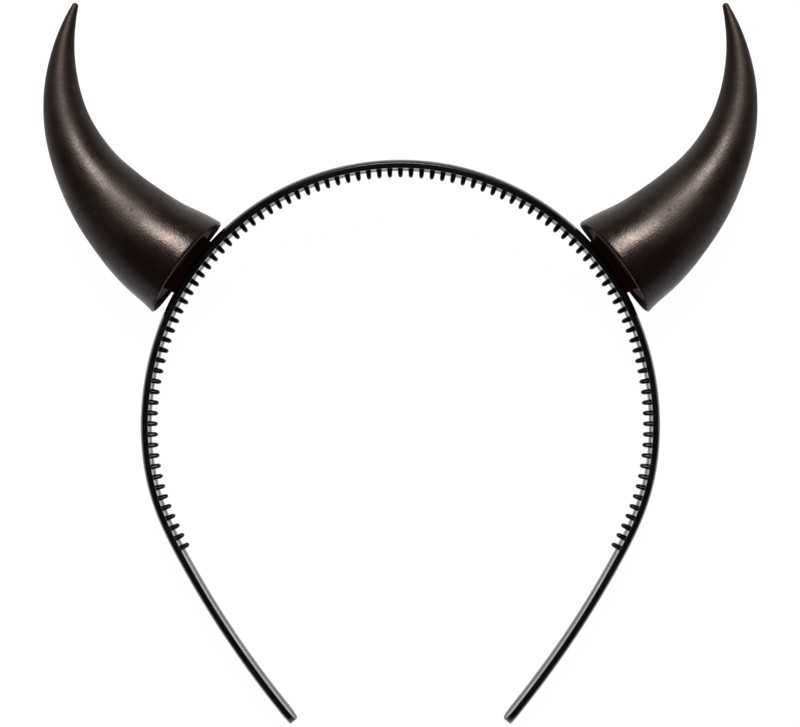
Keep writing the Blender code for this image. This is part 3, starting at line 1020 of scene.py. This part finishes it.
stripFinish = dict(
    dark=(0.0014, 0.0011, 0.0011),
    light=(0.0038, 0.0034, 0.0034),
    scuffed=(0.022, 0.021, 0.021),
    dusty=(0.03, 0.03, 0.03),
    flowScale=120.0,
    scuffs=dict(Amount=0.35),
    dust=dict(Film=0.02),
    wear=dict(Low=0.56, High=0.75, Amount=0.25),
    specular=0.3,
    roughLow=0.17,
    roughHigh=0.27,
    roughMarks=0.3,
    sinkScale=330.0,            # shallow sink marks
    sinkBump=0.12,
    sinkDepth=0.04 * mm,
)


def makeStripMaterial():
    f = stripFinish
    material, tree, shader, spot = newMaterial("stripGlossBlack")
    flow = place(tree, "ShaderNodeTexNoise", (1, 0), Scale=f["flowScale"], Detail=4.0)
    link(tree, spot, "Vector", flow, "Vector")
    spread = place(tree, "ShaderNodeMapRange", (2, 0), _1=0.35, _2=0.65)
    link(tree, flow, "Fac", spread, "Value")
    ground = mixColour(tree, (3, 0), f["dark"], f["light"], spread, "Result")
    scuffs = useGroup(tree, scuffGroup, spot, (1, 2), **f["scuffs"])
    dust = useGroup(tree, dustGroup, spot, (1, 4), **f["dust"])
    wear = useGroup(tree, edgeWearGroup, spot, (1, 5), **f["wear"])
    marks = place(tree, "ShaderNodeMath", (3, 3), {"operation": "ADD", "use_clamp": True})
    link(tree, scuffs, "Mask", marks, 0)
    link(tree, wear, "Mask", marks, 1)
    scuffed = coverColour(tree, (4, 0), ground, f["scuffed"], marks, "Value")
    dusty = coverColour(tree, (5, 0), scuffed, f["dusty"], dust, "Mask")
    link(tree, dusty, mixResult, shader, "Base Color")
    roughRange = spreadNoise(tree, (3, 5), flow, f["roughLow"], f["roughHigh"])
    roughMore = place(
        tree, "ShaderNodeMath", (4, 5), {"operation": "MULTIPLY_ADD"}, _1=f["roughMarks"]
    )
    link(tree, marks, "Value", roughMore, 0)
    link(tree, roughRange, "Result", roughMore, 2)
    link(tree, roughMore, "Value", shader, "Roughness")
    sink = place(tree, "ShaderNodeTexNoise", (1, 7), Scale=f["sinkScale"], Detail=2.0)
    link(tree, spot, "Vector", sink, "Vector")
    addBump(tree, shader, (5, 7), sink, "Fac", f["sinkBump"], f["sinkDepth"])
    shader.inputs["Specular IOR Level"].default_value = f["specular"]
    return material


dullSurface = dict(             # shared by the bases and the horns' hollows
    cloudScale=160.0,
    wear=dict(Low=0.54, High=0.68, Amount=0.4),
    grainBump=0.2,
    grainDepth=0.05 * mm,
)
baseFinish = dict(
    dullSurface,
    dark=(0.050, 0.018, 0.014),
    light=(0.072, 0.028, 0.022),
    rubbed=(0.050, 0.024, 0.019),
    roughLow=0.60,
    roughHigh=0.80,
    specular=0.02,
)
# painted shade: the wall of the horns' hollows is kept dark with almost no shine, standing in for the
# shade inside the hollow, on top of its duller plastic
hollowDullAndPaintedShadeFinish = dict(
    dullSurface,
    dark=(0.0035, 0.0010, 0.0008),
    light=(0.0070, 0.0022, 0.0018),
    rubbed=(0.012, 0.008, 0.007),
    roughLow=0.50,
    roughHigh=0.70,
    specular=0.03,
)


def makeDullMaterial(name, f):
    material, tree, shader, spot = newMaterial(name)
    clouds = place(tree, "ShaderNodeTexNoise", (1, 0), Scale=f["cloudScale"], Detail=4.0)
    link(tree, spot, "Vector", clouds, "Vector")
    ground = mixColour(tree, (3, 0), f["dark"], f["light"], clouds, "Fac")
    grain = useGroup(tree, grainGroup, spot, (1, 2))
    wear = useGroup(tree, edgeWearGroup, spot, (1, 4), **f["wear"])
    rubbed = coverColour(tree, (4, 0), ground, f["rubbed"], wear, "Mask")
    link(tree, rubbed, mixResult, shader, "Base Color")
    roughRange = spreadNoise(tree, (3, 5), clouds, f["roughLow"], f["roughHigh"])
    link(tree, roughRange, "Result", shader, "Roughness")
    addBump(tree, shader, (5, 5), grain, "Height", f["grainBump"], f["grainDepth"])
    shader.inputs["Specular IOR Level"].default_value = f["specular"]
    return material


def dress(piece, material, node):
    piece.data.materials.clear()
    piece.data.materials.append(material)
    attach(piece, "root")
    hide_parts(node)


def lineHollowWithPaintedShade(horn, material):
    # the wall of the hollow gets a duller, darker finish than the outside: rougher plain plastic with
    # little shine, darkened further as painted shade for the inside of the hollow
    horn.data.materials.append(material)
    mask = horn.data.attributes["insideMask"].data
    for face in horn.data.polygons:
        if all(mask[corner].value > 0.5 for corner in face.vertices):
            face.material_index = 1


hornMaterial = makeHornMaterial()
baseMaterial = makeDullMaterial("baseSatinBlack", baseFinish)
hollowDullAndPaintedShadeMaterial = makeDullMaterial("hornHollowDullPaintedShade", hollowDullAndPaintedShadeFinish)
dress(strip, makeStripMaterial(), "headband")
dress(hornRight, hornMaterial, "horn_right")
dress(hornLeft, hornMaterial, "horn_left")
lineHollowWithPaintedShade(hornRight, hollowDullAndPaintedShadeMaterial)
lineHollowWithPaintedShade(hornLeft, hollowDullAndPaintedShadeMaterial)
dress(baseRight, baseMaterial, "horn_base_right")
dress(baseLeft, baseMaterial, "horn_base_left")
print("materials: done")


# --- table, light and camera

studio = dict(
    tableSize=6.0,
    tableDrop=0.05 * mm,
    tableDark=(0.04, 0.04, 0.04),
    tableLight=(0.05, 0.05, 0.05),
    tableScale=40.0,
    tableRough=0.7,
    tableGlow=0.985,                # so that it shows as pale as the photo's background
    skyTop=0.08,
    skyHorizon=0.30,
    skyRise=0.45,                   # height at which the sky has faded to its top
    keyPlace=(0, 0.65, 0.79),       # from the middle of the headband
    keyAside=0.17,                  # each horn has a softbox of its own, this far to its side
    keySize=(0.30, 0.42),
    keyColour=(1.0, 0.96, 0.92),
    keyPower=28.0,                  # of each horn's softbox
    stripPower=9.0,                 # of the one in the middle, which lights the strip
    frontPlace=(0, -0.18, 0.9),
    frontSize=(0.12, 0.12),
    frontPower=0.02,
)
cameraShape = dict(
    distance=585 * mm,          # from the headband's middle plane
    below=55.26 * mm,           # below the strip's top
    aside=-0.11 * mm,
    seenWidth=217.04 * mm,      # of that plane, across the picture
    sensor=36.0,
    clip=(0.01, 50),
)


def layTable():
    s = studio
    bpy.ops.object.select_all(action="DESELECT")
    bpy.ops.mesh.primitive_plane_add(size=s["tableSize"], location=(0, 0, -s["tableDrop"]))
    table = bpy.context.object
    table.name = "paleTable"
    material = bpy.data.materials.new("paleTableTop")
    material.use_nodes = True
    tree = material.node_tree
    shader = tree.nodes["Principled BSDF"]
    spot = place(tree, "ShaderNodeTexCoord", (0, 0))
    noise = place(tree, "ShaderNodeTexNoise", (1, 0), Scale=s["tableScale"], Detail=3.0)
    link(tree, spot, "Object", noise, "Vector")
    shade = mixColour(tree, (2, 0), s["tableDark"], s["tableLight"], noise, "Fac")
    link(tree, shade, mixResult, shader, "Base Color")
    shader.inputs["Roughness"].default_value = s["tableRough"]
    shader.inputs["Emission Color"].default_value = (1, 1, 1, 1)
    shader.inputs["Emission Strength"].default_value = s["tableGlow"]
    table.data.materials.append(material)
    table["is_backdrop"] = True
    return table


def hangSky():
    s = studio
    world = bpy.data.worlds.new("softStudio")
    bpy.context.scene.world = world
    world.use_nodes = True
    tree = world.node_tree
    background = tree.nodes["Background"]
    spot = place(tree, "ShaderNodeTexCoord", (-5, 0))
    parts = place(tree, "ShaderNodeSeparateXYZ", (-4, 0))
    fade = place(
        tree, "ShaderNodeMapRange", (-3, 0), {"interpolation_type": "SMOOTHSTEP"},
        _1=0.0, _2=s["skyRise"], _3=s["skyHorizon"], _4=s["skyTop"],
    )
    link(tree, spot, "Generated", parts, "Vector")
    link(tree, parts, "Z", fade, "Value")
    link(tree, fade, "Result", background, "Strength")
    background.inputs["Color"].default_value = (1, 1, 1, 1)


def hangLight(name, offset, size, power, colour=(1, 1, 1), receivers=()):
    # looks at the middle of the headband; with receivers it lights these alone
    data = bpy.data.lights.new(name, "AREA")
    data.shape = "RECTANGLE"
    data.size, data.size_y = size
    data.energy = power
    data.color = colour
    lamp = bpy.data.objects.new(name, data)
    bpy.context.scene.collection.objects.link(lamp)
    lamp.location = offset
    lamp.rotation_mode = "QUATERNION"
    lamp.rotation_quaternion = (-Vector(offset)).to_track_quat("-Z", "Y")
    if receivers:
        lit = bpy.data.collections.new(name + "Receivers")
        for piece in receivers:
            lit.objects.link(piece)
        lamp.light_linking.receiver_collection = lit
    return lamp


def setCamera():
    c = cameraShape
    data = bpy.data.cameras.new("camera")
    data.sensor_width = c["sensor"]
    data.lens = c["sensor"] * c["distance"] / c["seenWidth"]
    data.clip_start, data.clip_end = c["clip"]
    camera = bpy.data.objects.new("camera", data)
    bpy.context.scene.collection.objects.link(camera)
    camera.matrix_world = planeFrame @ Matrix.Translation((c["aside"], -c["below"], c["distance"]))
    bpy.context.scene.camera = camera


table = layTable()
hangSky()
for name, aside, power, receivers in (
    ("stripSoftbox", 0, studio["stripPower"], (strip, table)),
    ("hornSoftboxLeft", -studio["keyAside"], studio["keyPower"], (hornLeft, baseLeft)),
    ("hornSoftboxRight", studio["keyAside"], studio["keyPower"], (hornRight, baseRight)),
):
    spot = Vector(studio["keyPlace"]) + Vector((aside, 0, 0))
    hangLight(name, spot, studio["keySize"], power, studio["keyColour"], receivers)
hangLight("frontFill", studio["frontPlace"], studio["frontSize"], studio["frontPower"])
setCamera()
bpy.context.scene.view_settings.view_transform = "Standard"
print("table, light and camera: done")

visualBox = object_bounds()
({
    "cad": [list(corner) for corner in cadBox],
    "visual": [list(corner) for corner in visualBox],
})
